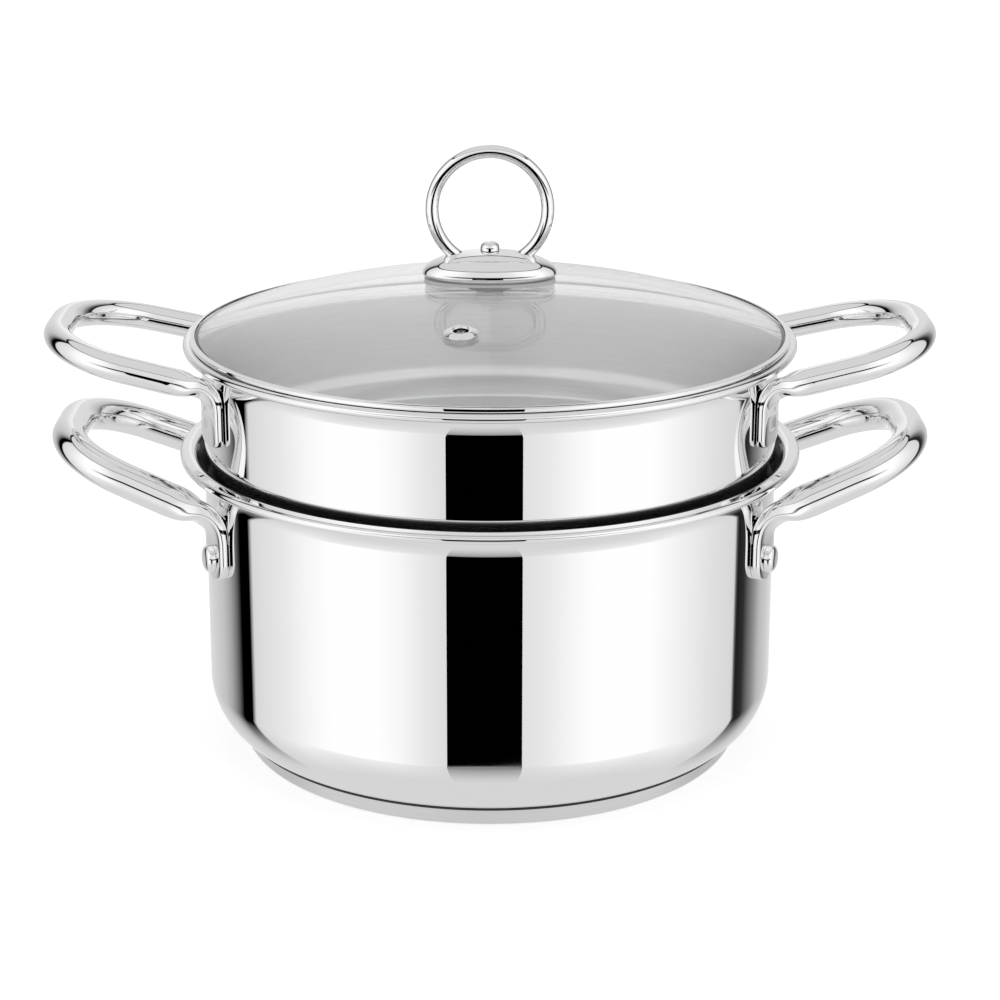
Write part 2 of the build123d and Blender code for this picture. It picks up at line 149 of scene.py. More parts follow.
def makePiece(name, points, faces, body, nodes, materials, slots=None, sharp=40):
    # A piece that rides with body in place of nodes, slots one material number a face.
    mesh = makeMesh(name, points, faces)
    for material in materials:
        mesh.materials.append(material)
    if slots is not None:
        mesh.polygons.foreach_set("material_index", slots.astype(np.int32))
    mesh.shade_smooth()
    mesh.set_sharp_from_angle(angle=math.radians(sharp))
    mesh.update()
    piece = bpy.data.objects.new(name, mesh)
    bpy.context.scene.collection.objects.link(piece)
    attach(piece, body)
    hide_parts(*nodes)
    return piece


def rounded(corners, radius, count=5):
    # Closed outline with each corner drawn as a short curve: the parabola (1-t)^2 a + 2t(1-t) corner +
    # t^2 b between points a and b, which lie radius, or 0.45 of the shorter side, from the corner.
    corners = np.array(corners, float)
    back = np.roll(corners, 1, 0) - corners
    on = np.roll(corners, -1, 0) - corners
    shorter = np.minimum(np.linalg.norm(back, axis=1), np.linalg.norm(on, axis=1))
    reach = np.minimum(radius, 0.45 * shorter)[:, None]
    a = (corners + back / np.linalg.norm(back, axis=1, keepdims=True) * reach)[:, None]
    b = (corners + on / np.linalg.norm(on, axis=1, keepdims=True) * reach)[:, None]
    t = np.linspace(0, 1, count)[None, :, None]
    return ((1 - t) ** 2 * a + 2 * t * (1 - t) * corners[:, None] + t ** 2 * b).reshape(-1, 2)


def placed(points, origin, axis, across=(0, 0, 1.0)):
    # Points of a local frame, whose Z is axis and whose X is square to axis and across, moved to origin.
    axis = np.array(axis, float) / np.linalg.norm(axis)
    x = np.cross(across, axis)
    x = x / np.linalg.norm(x)
    y = np.cross(axis, x)
    return np.array(origin) + points[:, :1] * x + points[:, 1:2] * y + points[:, 2:] * axis


def smooth(x):
    # x^2 (3 - 2x), which rises from 0 to 1 with level ends.
    x = np.clip(x, 0, 1)
    return x * x * (3 - 2 * x)


def domeLine(diameter, height, power, low):
    # The curve |r/R|^power + |z/H|^power = 1 from the foot up to the axis; a higher power is flatter.
    turn = np.linspace(0, math.pi / 2, 30)
    r = diameter / 2 * np.cos(turn).clip(0) ** (2 / power)
    z = low + height * np.sin(turn) ** (2 / power)
    return np.concatenate([[[0, low], [diameter / 4, low]], np.stack([r, z], 1)])


# Finishes

def nodeGroup(name, inputs, outputs):
    # A shared effect with inputs (label, start value) and outputs, all of them plain numbers.
    group = bpy.data.node_groups.new(name, "ShaderNodeTree")
    for label, value in inputs:
        item = group.interface.new_socket(name=label, in_out="INPUT", socket_type="NodeSocketFloat")
        item.default_value = value
    for label in outputs:
        group.interface.new_socket(name=label, in_out="OUTPUT", socket_type="NodeSocketFloat")
    return group, group.nodes.new("NodeGroupInput"), group.nodes.new("NodeGroupOutput")


def mathNode(tree, operation, a, b=None):
    # One operation on sockets or plain numbers.
    node = tree.nodes.new("ShaderNodeMath")
    node.operation = operation
    for socket, value in zip(node.inputs, (a, b)):
        if value is None:
            continue
        if isinstance(value, (int, float)):
            socket.default_value = value
        else:
            tree.links.new(value, socket)
    return node.outputs[0]


def times(tree, a, b):
    return mathNode(tree, "MULTIPLY", a, b)


def plus(tree, a, b):
    return mathNode(tree, "ADD", a, b)


def minus(tree, a, b):
    return mathNode(tree, "SUBTRACT", a, b)


def noiseNode(tree, place, scale, detail):
    # Noise over a place, with as many finer layers as detail says.
    noise = tree.nodes.new("ShaderNodeTexNoise")
    noise.inputs["Scale"].default_value = scale
    noise.inputs["Detail"].default_value = detail
    tree.links.new(place, noise.inputs["Vector"])
    return noise.outputs[0]


def handlingMarks():
    # Faint smudges and hairlines: roughness = polish + smudge slow^3 + hairline fine, with a slow noise
    # for the smudges and a stretched fine one for the hairlines.
    s = dict(slow=28, slowDetail=2, smudgePower=3, stretch=(90, 90, 1400), fineDetail=3)
    inputs = [("Polish", 0.05), ("Smudge", 0.03), ("Hairline", 0.02)]
    group, given, out = nodeGroup("handlingMarks", inputs, ["Roughness", "Height"])
    place = group.nodes.new("ShaderNodeTexCoord")
    stretch = group.nodes.new("ShaderNodeMapping")
    stretch.inputs["Scale"].default_value = s["stretch"]
    group.links.new(place.outputs["Object"], stretch.inputs["Vector"])
    slow = noiseNode(group, place.outputs["Object"], s["slow"], s["slowDetail"])
    fine = noiseNode(group, stretch.outputs[0], 1, s["fineDetail"])
    smudge = times(group, mathNode(group, "POWER", slow, s["smudgePower"]), given.outputs["Smudge"])
    hair = times(group, fine, given.outputs["Hairline"])
    roughness = plus(group, given.outputs["Polish"], plus(group, smudge, hair))
    group.links.new(roughness, out.inputs["Roughness"])
    group.links.new(slow, out.inputs["Height"])
    return group


def turnedBrushing():
    # Fine rings left by brushing on a lathe: noise over (lines r, lines z, 3 angle), so that it hardly
    # changes along a ring. Roughness = satin + spread (noise - 0.5); the noise is also height and tone.
    s = dict(perTurn=3.0, detail=4)
    inputs = [("Lines", 2600.0), ("Satin", 0.3), ("Spread", 0.2)]
    group, given, out = nodeGroup("turnedBrushing", inputs, ["Roughness", "Height", "Tone"])
    place = group.nodes.new("ShaderNodeTexCoord")
    split = group.nodes.new("ShaderNodeSeparateXYZ")
    group.links.new(place.outputs["Object"], split.inputs[0])
    x, y, z = split.outputs
    radius = mathNode(group, "SQRT", plus(group, times(group, x, x), times(group, y, y)))
    around = mathNode(group, "ARCTAN2", y, x)
    rings = group.nodes.new("ShaderNodeCombineXYZ")
    group.links.new(times(group, radius, given.outputs["Lines"]), rings.inputs[0])
    group.links.new(times(group, z, given.outputs["Lines"]), rings.inputs[1])
    group.links.new(times(group, around, s["perTurn"]), rings.inputs[2])
    lines = noiseNode(group, rings.outputs[0], 1, s["detail"])
    spread = times(group, minus(group, lines, 0.5), given.outputs["Spread"])
    group.links.new(plus(group, given.outputs["Satin"], spread), out.inputs["Roughness"])
    group.links.new(lines, out.inputs["Height"])
    group.links.new(lines, out.inputs["Tone"])
    return group


marks = handlingMarks()
brushing = turnedBrushing()


def newMaterial(name, colour, metallic, roughness):
    # A material with its Principled shader set to plain values.
    material = bpy.data.materials.new(name)
    material.use_nodes = True
    shader = material.node_tree.nodes["Principled BSDF"]
    shader.inputs["Base Color"].default_value = (*colour, 1)
    shader.inputs["Metallic"].default_value = metallic
    shader.inputs["Roughness"].default_value = roughness
    return material, material.node_tree, shader


def sharedEffect(tree, group, **values):
    # A shared group in a material's tree, its inputs set by their labels.
    node = tree.nodes.new("ShaderNodeGroup")
    node.node_tree = group
    for label, value in values.items():
        node.inputs[label].default_value = value
    return node


def addBump(tree, shader, height, strength, distance):
    # Relief without geometry: normals that lean as a height of this distance would make them.
    bump = tree.nodes.new("ShaderNodeBump")
    bump.inputs["Strength"].default_value = strength
    bump.inputs["Distance"].default_value = distance
    tree.links.new(height, bump.inputs["Height"])
    tree.links.new(bump.outputs[0], shader.inputs["Normal"])


mirrorSettings = dict(colour=(0.93, 0.93, 0.935), flatRoughness=0.05, polish=0.004, smudge=0.03,
                      hairline=0.004, wave=0.01, waveDepth=0.0002)


def mirrorSteel():
    # Polished sheet: a very low roughness with handling marks, and a slow wave in its reflections.
    s = mirrorSettings
    material, tree, shader = newMaterial("mirrorSteel", s["colour"], 1, s["flatRoughness"])
    worn = sharedEffect(tree, marks, Polish=s["polish"], Smudge=s["smudge"], Hairline=s["hairline"])
    tree.links.new(worn.outputs["Roughness"], shader.inputs["Roughness"])
    addBump(tree, shader, worn.outputs["Height"], s["wave"], s["waveDepth"])
    return material


# lines is how fine the brushing is, tone how much darker its dark lines are, stretch how far a highlight
# spreads across them.
satinSettings = dict(colour=(0.95, 0.95, 0.955), lines=900.0, tone=0.16, satin=0.36, spread=0.24,
                     stretch=0.98, depth=0.00001, strength=0.04)
# Painted shade: the insert's floor is a darker satin, standing in for the shade at the bottom of the
# vessel; its brushing is real.
floorShadeSettings = dict(colour=(0.75, 0.75, 0.755), lines=900.0, tone=0.16, satin=0.34, spread=0.2,
                     stretch=0.7, depth=0.00001, strength=0.06)
# Painted shade: a dark satin for the crevice where the insert sits in the pot's rim; its brushing is real,
# its darkness stands in for shade.
creviceShadeSettings = dict(colour=(0.36, 0.36, 0.365), lines=1400.0, tone=0.05, satin=0.3, spread=0.1,
                      stretch=0.5, depth=0.00002, strength=0.1)
baseSettings = dict(colour=(0.91, 0.91, 0.915), lines=1100.0, tone=0.12, satin=0.34, spread=0.14,
                    stretch=0.6, depth=0.00003, strength=0.2)


def brushedSteel(name, s):
    # Turned and brushed sheet: colour (1 - tone (1 - noise)), with highlights drawn out across the
    # rings, a quarter turn from the tangent.
    material, tree, shader = newMaterial(name, s["colour"], 1, s["satin"])
    lines = sharedEffect(tree, brushing, Lines=s["lines"], Satin=s["satin"], Spread=s["spread"])
    tree.links.new(lines.outputs["Roughness"], shader.inputs["Roughness"])
    paint = tree.nodes.new("ShaderNodeMix")
    paint.data_type = "RGBA"
    share, painted = paint.inputs[0], paint.outputs[2]
    darkColour, paleColour = paint.inputs[6], paint.inputs[7]
    tree.links.new(lines.outputs["Tone"], share)
    darkColour.default_value = (*[level * (1 - s["tone"]) for level in s["colour"]], 1)
    paleColour.default_value = (*s["colour"], 1)
    tree.links.new(painted, shader.inputs["Base Color"])
    addBump(tree, shader, lines.outputs["Height"], s["strength"], s["depth"])
    tangent = tree.nodes.new("ShaderNodeTangent")
    tangent.direction_type = "RADIAL"
    tangent.axis = "Z"
    tree.links.new(tangent.outputs[0], shader.inputs["Tangent"])
    shader.inputs["Anisotropic"].default_value = s["stretch"]
    shader.inputs["Anisotropic Rotation"].default_value = 0.25
    return material


glassSettings = dict(colour=(0.992, 0.995, 0.994), ior=1.52, shadow=(0.967, 0.97, 0.969))


def lidGlassFinish():
    # Clear glass that lets light through to what it covers: shadow rays pass straight on.
    s = glassSettings
    material, tree, shader = newMaterial("lidGlassClear", s["colour"], 0, 0)
    shader.inputs["Transmission Weight"].default_value = 1
    shader.inputs["IOR"].default_value = s["ior"]
    clear = tree.nodes.new("ShaderNodeBsdfTransparent")
    clear.inputs[0].default_value = (*s["shadow"], 1)
    rays = tree.nodes.new("ShaderNodeLightPath")
    mix = tree.nodes.new("ShaderNodeMixShader")
    tree.links.new(rays.outputs["Is Shadow Ray"], mix.inputs[0])
    tree.links.new(shader.outputs[0], mix.inputs[1])
    tree.links.new(clear.outputs[0], mix.inputs[2])
    tree.links.new(mix.outputs[0], tree.nodes["Material Output"].inputs[0])
    return material


def plainWorn(name, colour, metallic, polish, smudge):
    # A plain colour whose roughness carries the handling marks.
    material, tree, shader = newMaterial(name, colour, metallic, polish)
    worn = sharedEffect(tree, marks, Polish=polish, Smudge=smudge)
    tree.links.new(worn.outputs["Roughness"], shader.inputs["Roughness"])
    return material


steel = mirrorSteel()
satin = brushedSteel("satinSteel", satinSettings)
baseSatin = brushedSteel("baseSatin", baseSettings)
# Painted shade in the crevice between the insert and the pot's rim, as a dark satin.
creviceShadeSatin = brushedSteel("creviceShadeSatin", creviceShadeSettings)
# Painted shade at the bottom of the insert, as a darker satin.
floorShadeSatin = brushedSteel("floorShadeSatin", floorShadeSettings)
glass = lidGlassFinish()
aluminium = plainWorn("aluminiumCore", colour=(0.78, 0.78, 0.79), metallic=1, polish=0.4, smudge=0.2)
# Painted shade: a near black for the seam's narrow gap between the base and the pot.
seamShadePaint = plainWorn("seamShadePaint", colour=(0.02, 0.02, 0.02), metallic=0, polish=0.6, smudge=0.2)
silicone = plainWorn("siliconeSeal", colour=(0.75, 0.75, 0.74), metallic=0, polish=0.55, smudge=0.2)
print("finishes ready")


# Vessels: the bends of the solids, finely divided

# The visible rims follow the rolled edge a little more closely than the solids do: the pot's crest lies
# further in and slopes down to its lip, and the insert draws in at a short shoulder above the rim. Both
# lips end at lipTilt degrees from upright.
segments = 288
lipTilt = 240.0
pot = dict(bore=100.0, sheet=0.75, floor=4.1, corner=22.0, flare=99.1, bend=13.0, tilt=33.0, climb=2.4,
           ridge=2.2, ridgeTilt=100.0, slope=1.5, lip=1.6, satinEnd=2.0, paintedShadeWithin=102.9)
wallR = pot["bore"] + pot["sheet"]


def potPiece():
    # One sheet turned round Z: mirror steel outside and on the rim, satin inside up to satinEnd below the
    # flare, and a dark satin where the flare lies under the insert, painted shade of the crevice between
    # them.
    lip = (pot["lip"] - pot["sheet"], lipTilt - pot["ridgeTilt"])
    steps = [wallR - pot["corner"], (pot["corner"], -90), pot["flare"] - pot["floor"] - pot["corner"],
             (pot["bend"] - pot["sheet"], pot["tilt"]), pot["climb"],
             (pot["ridge"], pot["ridgeTilt"] - pot["tilt"]), pot["slope"], lip]
    profile, outerCount = rimmedProfile((0, pot["floor"]), steps, pot["sheet"])
    points, faces = turned(profile, segments, False)
    middle = points[faces[0]].mean(1)
    inside = np.arange(len(middle)) // segments >= outerCount
    low = middle[:, 2] < pot["flare"] - pot["satinEnd"]
    # Painted shade: the flare's inner face within this radius takes the dark satin, as shade under the
    # insert.
    near = np.hypot(middle[:, 0], middle[:, 1]) < pot["paintedShadeWithin"]
    sheetSlots = np.select([inside & low, inside & near], [1, 2], 0)
    slots = np.concatenate([sheetSlots, np.zeros(len(faces[1]), int)])
    materials = [steel, satin, creviceShadeSatin]
    makePiece("potShellSmooth", points, faces, "pot", ["pot_body"], materials, slots, sharp=50)


potPiece()

# darkEnd sets how far below the drawn wall's top the painted shade of the crevice ends.
insert = dict(wall=101.2, sheet=0.7, crestZ=148.15, crest=4.05, lip=1.5, shoulder=111.9, draw=14.5,
              corner=4.0, seatGap=0.3, ringInset=9.0, ringRise=0.5, ringBend=1.5, satinOver=1.0,
              darkEnd=0.6, floorOver=0.6)
drawnWall = dict(top=111.8, bend=4.5, tilt=50.0, hollow=2.5, lean=4.0, corner=2.2)
holes = dict(pitch=15.0, rings=4, cellsPerRing=6, holeR=2.75, steps=288, sideSteps=12, inward=4)
holeFieldR = (holes["rings"] + 0.5) * holes["pitch"]

# Where the solid's drawn wall ends: an arc of drawR touches the pot's flare, seatGap away, turns by draw
# and runs into the corner of the floor.
stepIn, stepUp = insert["wall"] - pot["bore"], insert["shoulder"] - pot["flare"]
seatReach = stepIn ** 2 + stepUp ** 2 - insert["seatGap"] ** 2
drawR = seatReach / (2 * (stepIn + insert["seatGap"])) - pot["bend"]
drawTilt = math.radians(insert["draw"])
floorR = insert["wall"] - drawR * (1 - math.cos(drawTilt)) - insert["corner"] * math.cos(drawTilt)
floorZ = insert["shoulder"] - drawR * math.sin(drawTilt) - insert["corner"] * (1 - math.sin(drawTilt))

# The flare starts this high, so that the crest of the rolled rim comes to crestZ.
flareTilt = math.radians(pot["tilt"])
flareRise = pot["bend"] * math.sin(flareTilt) + insert["crest"] * (1 - math.sin(flareTilt))
insertFlare = insert["crestZ"] - flareRise

# A pressed ring lifts the middle of the floor: two bends of ringTurn, one back from the other, rise by
# 2 R (1 - cos turn) over 2 R sin turn.
ringAt = floorR - insert["ringInset"]
ringTurn = math.acos(1 - insert["ringRise"] / 2 / insert["ringBend"])
ringWide = 2 * insert["ringBend"] * math.sin(ringTurn)
middleZ = floorZ + (2 * insert["ringBend"] - insert["sheet"]) * (1 - math.cos(ringTurn))

# The visible wall leaves the floor at footR, leans by lean up to the hollow, and bends over at its top.
topTilt, lean = math.radians(drawnWall["tilt"]), math.radians(drawnWall["lean"])
hollowOut = drawnWall["hollow"] * (math.cos(lean) - math.cos(topTilt))
hollowUp = drawnWall["hollow"] * (math.sin(topTilt) - math.sin(lean))
hollowR = insert["wall"] - drawnWall["bend"] * (1 - math.cos(topTilt)) - hollowOut
hollowZ = drawnWall["top"] - drawnWall["bend"] * math.sin(topTilt) - hollowUp
cornerZ = floorZ + drawnWall["corner"] * (1 - math.sin(lean))
footR = hollowR - (hollowZ - cornerZ) * math.tan(lean) - drawnWall["corner"] * math.cos(lean)

insertSteps = [
    ringAt - ringWide / 2 - holeFieldR,
    (insert["ringBend"] - insert["sheet"], math.degrees(ringTurn)),
    (insert["ringBend"], -math.degrees(ringTurn)),
    footR - ringAt - ringWide / 2,
    (drawnWall["corner"], drawnWall["lean"] - 90),
    (hollowZ - cornerZ) / math.cos(lean),
    (drawnWall["hollow"], drawnWall["tilt"] - drawnWall["lean"]),
    (drawnWall["bend"], -drawnWall["tilt"]),
    insertFlare - drawnWall["top"],
    (pot["bend"] - insert["sheet"], pot["tilt"]),
    (insert["crest"] - insert["sheet"], 90 - pot["tilt"]),
    (insert["lip"] - insert["sheet"], lipTilt - 90)]
print("insert flare starts at", round(insertFlare, 2), "floor", round(floorZ, 2))


def cellBorder(ring, middle, cells):
    # The border of one cell of the polar pattern: its outer arc, a side, its inner arc and the other
    # side. The cell in the middle is a disc.
    s = holes
    inR, outR = (ring - 0.5) * s["pitch"], (ring + 0.5) * s["pitch"]
    if ring == 0:
        angle = tau * np.arange(s["steps"]) / s["steps"]
        return np.stack([outR * np.cos(angle), outR * np.sin(angle)], 1)
    low, high = middle - math.pi / cells, middle + math.pi / cells
    arc = s["steps"] // cells
    out = low + (high - low) * np.arange(arc) / arc
    side = (outR - inR) * np.arange(s["sideSteps"]) / s["sideSteps"]
    radius = np.concatenate([np.full(arc, outR), outR - side, np.full(arc, inR), inR + side])
    angle = np.concatenate([out, np.full(len(side), high), (low + high) - out, np.full(len(side), low)])
    return np.stack([radius * np.cos(angle), radius * np.sin(angle)], 1)


def perforatedFloor():
    # The floor inside holeFieldR as one skin. Each hole sits in a cell of a polar pattern: ring k holds
    # 6k cells. In a cell the grid runs from its border straight to the hole's edge, border (1 - v) +
    # edge v, on the upper and the lower face, and a short wall joins the two.
    s = holes
    corners, quads, count = [], [], 0
    for ring in range(s["rings"] + 1):
        cells = max(1, s["cellsPerRing"] * ring)
        for middle in tau * np.arange(cells) / cells:
            border = cellBorder(ring, middle, cells)
            centre = ring * s["pitch"] * np.array([math.cos(middle), math.sin(middle)])
            around = np.arctan2(border[:, 1] - centre[1], border[:, 0] - centre[0])
            edge = centre + s["holeR"] * np.stack([np.cos(around), np.sin(around)], 1)
            v = np.linspace(0, 1, s["inward"] + 1)[:, None, None]
            face = border * (1 - v) + edge * v
            upper = np.concatenate([face, np.full(face.shape[:2] + (1,), middleZ + insert["sheet"])], -1)
            lower = np.concatenate([face[::-1], np.full(face.shape[:2] + (1,), middleZ)], -1)
            skin = np.concatenate([upper, lower])
            corners.append(skin.reshape(-1, 3))
            quads.append(gridQuads(*skin.shape[:2], False) + count)
            count += len(corners[-1])
    return np.concatenate(corners), np.concatenate(quads)


def insertPiece():
    # The turned wall starts at the rim of the hole field, where it meets the perforated floor. Points that
    # share a place, to 1 / 2000 mm, become one.
    finest = 2000
    profile, outerCount = rimmedProfile((holeFieldR, middleZ), insertSteps, insert["sheet"])
    wallPoints, wallFaces = turned(profile, segments, True)
    wallQuads = facingOut(wallPoints, [wallFaces[0][:(len(profile) - 1) * segments]])[0]
    floorPoints, floorQuads = perforatedFloor()
    points = np.concatenate([wallPoints, floorPoints])
    quads = np.concatenate([wallQuads, floorQuads + len(wallPoints)])
    key = np.round(points * finest).astype(np.int64)
    key, first, back = np.unique(key, axis=0, return_index=True, return_inverse=True)
    points, quads = points[first], back.reshape(-1)[quads]
    height = points[quads].mean(1)[:, 2]
    inside = np.arange(len(quads)) // segments >= outerCount
    # Painted shade: the floor, up to floorOver above it, takes the darker satin.
    onFloor = inside & (height < floorZ + insert["sheet"] + insert["floorOver"])
    # Painted shade: the outer wall below the drawn wall's top takes the dark satin, for the crevice above
    # the pot's rim.
    nested = ~inside & (height < drawnWall["top"] - insert["darkEnd"])
    onWall = inside & (height < insertFlare + insert["satinOver"])
    slots = np.select([onFloor, nested, onWall], [3, 2, 1], 0)
    materials = [steel, satin, creviceShadeSatin, floorShadeSatin]
    makePiece("insertShellSmooth", points, [quads], "steamer", ["insert_body"], materials, slots, sharp=50)


insertPiece()
print("vessels made")


# Base

cap = dict(sheet=0.5, flat=85.0, corner=4.0, edge=91.0, gap=0.1, seam=0.85)


def baseCap():
    # A pressed dish: flat, a corner, and a straight flank that leaves the corner's circle as a tangent,
    # sqrt(out^2 + up^2 - R^2) long, and ends a gap short of the pot's corner. Its last run, seam long, and
    # its free edge are painted dark, as shade in the seam's narrow gap; face row k joins points k + 1 and
    # k + 2 of the profile.
    inside = cap["edge"] - (wallR - pot["corner"])
    edgeZ = pot["floor"] + pot["corner"] - math.sqrt(pot["corner"] ** 2 - inside ** 2)
    out, up = cap["edge"] - cap["flat"], edgeZ - cap["corner"]
    tilt = math.degrees(math.acos(cap["corner"] / math.hypot(out, up)) - math.atan2(up, out))
    run = math.sqrt(out ** 2 + up ** 2 - cap["corner"] ** 2)
    steps = [cap["flat"], (cap["corner"], tilt - 90), run - cap["gap"] - cap["seam"], cap["seam"]]
    outer = faceLine((0, 0), steps, 0)
    inner = faceLine((0, 0), steps, cap["sheet"])[:1 - runPoints]
    points, faces = turned(np.concatenate([outer, inner[::-1]]), segments, False)
    row = np.arange(len(faces[0])) // segments
    edgeRow = len(outer) - 2
    # Painted shade: the rows of the last run and the free edge take the near black of the seam's gap.
    dark = (row >= edgeRow - runPoints) & (row <= edgeRow)
    slots = np.concatenate([dark.astype(int), np.zeros(len(faces[1]), int)])
    makePiece("baseCapSmooth", points, faces, "pot", ["base_cap"], [baseSatin, seamShadePaint], slots, sharp=50)


baseCap()


# Handles

# A loop's leg runs from the knee, over the tab, to the corner of its grip. Its tab has a foot at tabLow;
# endR rounds the end of the tab. dent is the depth of a spot weld's mark.
potLoop = dict(wall=wallR, tube=5.9, tabY=39.3, knee=(95.0, 40.0, 92.83), corner=(147.5, 31.5, 114.3),
               cornerR=28.5, legX=109.5, bend=11.0, tabTop=88.5, tabLow=71.5, tabHalf=9.3, thick=2.8,
               endR=7.0)
insertLoop = dict(wall=insert["wall"], tube=4.7, tabY=39.3, knee=(95.0, 40.0, 138.2),
                  corner=(150.0, 35.5, 150.8), cornerR=31.5, legX=108.0, bend=7.0, tabTop=133.5,
                  tabLow=119.5, tabHalf=8.8, thick=2.5, endR=3.0, dent=0.35, dentR=2.1, dentEdge=0.9,
                  dentFrom=0.7)
loopSettings = dict(spacing=0.5, endSteps=12, steps=190, round=64, tabPower=4.5, tubePower=2, sunk=0.75,
                    clear=0.05, blur=np.array([1, 4, 7, 10, 12, 10, 7, 4, 1]))


def bentLine(start, corner, end, radius):
    # A straight run to a corner and on to the end, with an arc of radius at the corner. The arc starts
    # radius / tan(half) from the corner, half being half the angle between the runs, and its points
    # are centre + (a sin((1 - t) turn) + b sin(t turn)) / sin(turn) for the spokes a and b of its ends.
    spacing = loopSettings["spacing"]
    back = (start - corner) / np.linalg.norm(start - corner)
    on = (end - corner) / np.linalg.norm(end - corner)
    half = math.acos(float(back @ on)) / 2
    arcStart, arcEnd = corner + back * radius / math.tan(half), corner + on * radius / math.tan(half)
    centre = corner + (back + on) / np.linalg.norm(back + on) * radius / math.sin(half)
    turn = math.pi - 2 * half
    count = max(2, int(np.linalg.norm(arcStart - start) / spacing))
    before = start + (arcStart - start) * np.linspace(0, 1, count, endpoint=False)[:, None]
    t = np.linspace(0, 1, max(4, int(turn * radius / spacing)), endpoint=False)[:, None]
    spokes = (arcStart - centre) * np.sin((1 - t) * turn) + (arcEnd - centre) * np.sin(t * turn)
    count = max(2, int(np.linalg.norm(end - arcEnd) / spacing))
    after = arcEnd + (end - arcEnd) * np.linspace(0, 1, count)[:, None]
    return np.concatenate([before, centre + spokes / math.sin(turn), after])


def handleLine(s, foot):
    # The middle line of half a loop, from the foot of its tab to the middle of the grip, and how far
    # along it each point and the start of the leg lie. The points stand close at the foot, endR
    # (1 - cos a) along, and a weighted mean of nine neighbours softens the bends.
    knee, corner = np.array(s["knee"]), np.array(s["corner"])
    leg = knee + (corner - knee) * (s["legX"] - knee[0]) / (corner[0] - knee[0])
    turn = np.array([foot[0], foot[1], knee[2]])
    upToLeg = bentLine(foot, turn, leg, s["bend"])[:-1]
    line = np.concatenate([upToLeg, bentLine(leg, corner, corner * mirrorY, s["cornerR"])])
    length = np.concatenate([[0], np.cumsum(np.linalg.norm(np.diff(line, axis=0), axis=1))])
    legAt = length[np.argmin(np.linalg.norm(line - leg, axis=1))]
    onGrip = line[:, 0] > corner[0] - 1
    middleAt = length[onGrip][np.argmin(np.abs(line[onGrip, 1]))]
    line = np.concatenate([line[length < middleAt], [[corner[0], 0, corner[2]]]])
    length = np.concatenate([length[length < middleAt], [middleAt]])
    close = s["endR"] * (1 - np.cos(np.linspace(0, math.pi / 2, loopSettings["endSteps"])))
    along = np.concatenate([close, np.linspace(s["endR"], middleAt, loopSettings["steps"])[1:]])
    line = np.stack([np.interp(along, length, line[:, axis]) for axis in range(3)], 1)
    blur = loopSettings["blur"] / loopSettings["blur"].sum()
    beyond = len(blur) // 2
    before = 2 * line[:1] - line[beyond:0:-1]
    after = (line * mirrorY)[-2:-2 - beyond:-1]
    padded = np.concatenate([before, line, after])
    line = np.stack([np.convolve(padded[:, axis], blur, "valid") for axis in range(3)], 1)
    line[0] = foot
    line[-1, 1] = 0
    return line, along, legAt


def weldDent(s, skin, out):
    # Depth of the round mark of a spot weld on the tab's face: dent smooth((dentR - r) / dentEdge + 0.5).
    middle = out * s["wall"] + np.array([0, 0, (s["tabLow"] + s["tabTop"]) / 2])
    aside = np.linalg.norm(np.cross(skin - middle, out), axis=-1)
    onFace = (skin @ out) > s["wall"] + s["thick"] * s["dentFrom"]
    return s["dent"] * smooth((s["dentR"] - aside) / s["dentEdge"] + 0.5) * onFace


def handleSkin(s, side):
    # Rings |a/w|^n + |b/d|^n = 1 along half a loop, from a rounded bar on the tab (n tabPower) to a
    # circle on the tube (n 2), no point of them inside the wall, then mirrored over Y.
    azimuth = math.asin(s["tabY"] / s["wall"])
    out = np.array([math.cos(azimuth), math.sin(azimuth), 0])
    depth = s["thick"] / 2 + loopSettings["sunk"]
    foot = out * (s["wall"] + s["thick"] - depth) + np.array([0, 0, s["tabLow"]])
    line, along, legAt = handleLine(s, foot)
    toward = np.gradient(line, axis=0)
    toward /= np.linalg.norm(toward, axis=1, keepdims=True)
    tabLength = s["tabTop"] - s["tabLow"]
    full = smooth((along - tabLength) / (legAt - tabLength))[:, None]
    through = -out * (1 - full) + np.array([0, 0, 1.0]) * full
    through -= toward * np.sum(toward * through, 1, keepdims=True)
    through /= np.linalg.norm(through, axis=1, keepdims=True)
    across = np.cross(through, toward)
    ending = np.clip(along / s["endR"], 0, 1)[:, None]
    tabWide = s["tabHalf"] - s["endR"] * (1 - np.sqrt(1 - (1 - ending) ** 2))
    wide = tabWide * (1 - full) + s["tube"] * full
    deep = depth * (1 - full) + s["tube"] * full
    power = 2 / (loopSettings["tabPower"] * (1 - full) + loopSettings["tubePower"] * full)
    around = tau * np.arange(loopSettings["round"]) / loopSettings["round"]
    a = wide * np.sign(np.cos(around)) * np.abs(np.cos(around)) ** power
    b = deep * np.sign(np.sin(around)) * np.abs(np.sin(around)) ** power
    skin = line[:, None] + across[:, None] * a[..., None] + through[:, None] * b[..., None]
    away = np.hypot(skin[..., 0], skin[..., 1])
    skin[..., :2] *= np.maximum(1, (s["wall"] + loopSettings["clear"]) / away)[..., None]
    if "dent" in s:
        skin -= out * weldDent(s, skin, out)[..., None]
    skin = np.concatenate([skin, skin[-2::-1] * mirrorY])
    skin[..., 0] *= side
    return cappedSkin(skin, [skin[0].mean(0), skin[-1].mean(0)])


for sideName, side in (("left", -1), ("right", 1)):
    for loop, vessel, body in ((potLoop, "pot", "pot"), (insertLoop, "insert", "steamer")):
        name = vessel + "Handle" + sideName.capitalize()
        points, faces = handleSkin(loop, side)
        makePiece(name, points, faces, body, [vessel + "_handle_" + sideName], [steel], sharp=60)
print("handles made")


# Rivets

